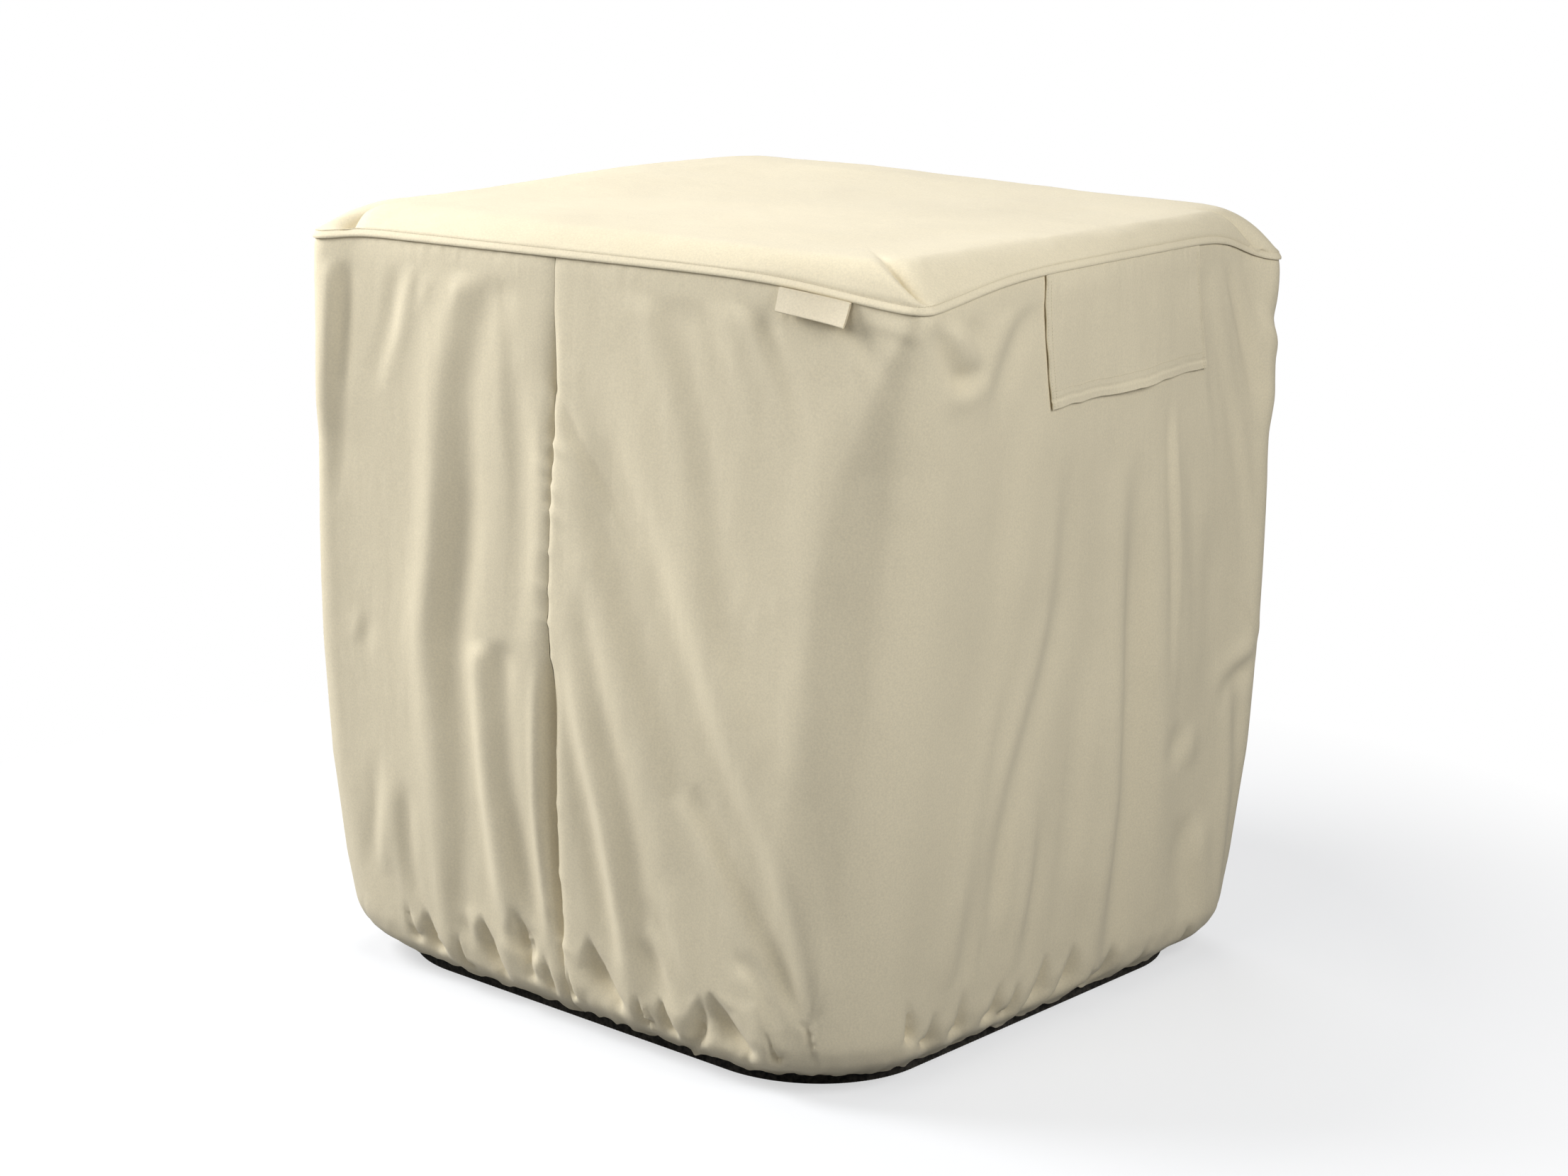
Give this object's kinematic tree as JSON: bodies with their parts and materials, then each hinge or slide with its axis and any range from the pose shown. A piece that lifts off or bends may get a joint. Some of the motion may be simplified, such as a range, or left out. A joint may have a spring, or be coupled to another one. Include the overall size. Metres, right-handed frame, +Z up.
{
  "type": "air conditioner cover",
  "caption": "Fitted cream cloth cover for a square outdoor air conditioner, with a welted top, a gathered skirt, a sewn vent flap and a dark elastic hem band.",
  "frame": {"origin": "middle of the underside of the top, where the cover lies on the unit", "axes": "+Z up; +X out of the face with the vent flap; -Y out of the face with the label"},
  "size_m": [0.9412, 0.9368, 1.003],
  "materials": {
    "cover_cloth": "fine woven polyester, matt with a slight sheen",
    "label_cloth": "smooth woven label, bare",
    "elastic_band": "dark ribbed elastic"
  },
  "bodies": {
    "root": {"top_panel": "cover_cloth", "skirt_right": "cover_cloth", "skirt_left": "cover_cloth", "vent_flap": "cover_cloth", "label": "label_cloth", "hem_band": "elastic_band"}
  },
  "joints": []
}
